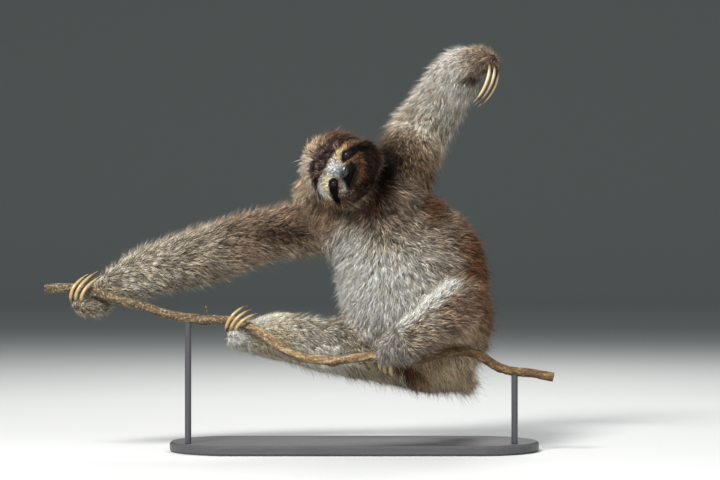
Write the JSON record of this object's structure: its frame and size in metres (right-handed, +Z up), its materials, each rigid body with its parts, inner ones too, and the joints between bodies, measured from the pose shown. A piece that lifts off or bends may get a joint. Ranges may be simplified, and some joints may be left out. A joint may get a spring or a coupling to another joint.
{
  "type": "three-toed sloth",
  "caption": "Life-size sloth with long shaggy limbs, clinging to a cut length of vine with an arm raised, on a flat base with upright rods.",
  "frame": {"origin": "under the middle of the whole model's box, on the level that the stand's base rests on", "axes": "+Z up; +X towards the sloth's left side, where the raised arm and the right-hand end of the vine are; -Y the way the sloth's chest and face look"},
  "size_m": [0.7064, 0.2396, 0.5693],
  "materials": {
    "coat": "coarse dry shaggy hair, grey-beige with a cream belly, brown throat and shoulders and a pale face mask with dark eye stripes",
    "claw": "smooth ivory horn with a slight gloss, browner at the root",
    "eye": "wet near-black brown",
    "nose": "moist blue-black pebbled skin",
    "vine": "rough tan-brown bark with ridges and small knobs, paler cut ends",
    "stand_base": "board painted satin charcoal",
    "stand_rod": "round steel rod, satin black paint"
  },
  "bodies": {
    "root": {"head": "coat", "neck": "coat", "trunk": "coat", "tail": "coat", "upper_arm_left": "coat", "forearm_left": "coat", "hand_left": "coat", "upper_arm_right": "coat", "forearm_right": "coat", "hand_right": "coat", "thigh_left": "coat", "shin_left": "coat", "foot_left": "coat", "thigh_right": "coat", "shin_right": "coat", "foot_right": "coat", "eye_left": "eye", "eye_right": "eye", "nose": "nose", "claw_hand_left_1": "claw", "claw_hand_left_2": "claw", "claw_hand_left_3": "claw", "claw_hand_right_1": "claw", "claw_hand_right_2": "claw", "claw_hand_right_3": "claw", "claw_foot_left_1": "claw", "claw_foot_left_2": "claw", "claw_foot_left_3": "claw", "claw_foot_right_1": "claw", "claw_foot_right_2": "claw", "claw_foot_right_3": "claw", "vine": "vine", "stand_base": "stand_base", "stand_rod_1": "stand_rod", "stand_rod_2": "stand_rod"}
  },
  "joints": []
}
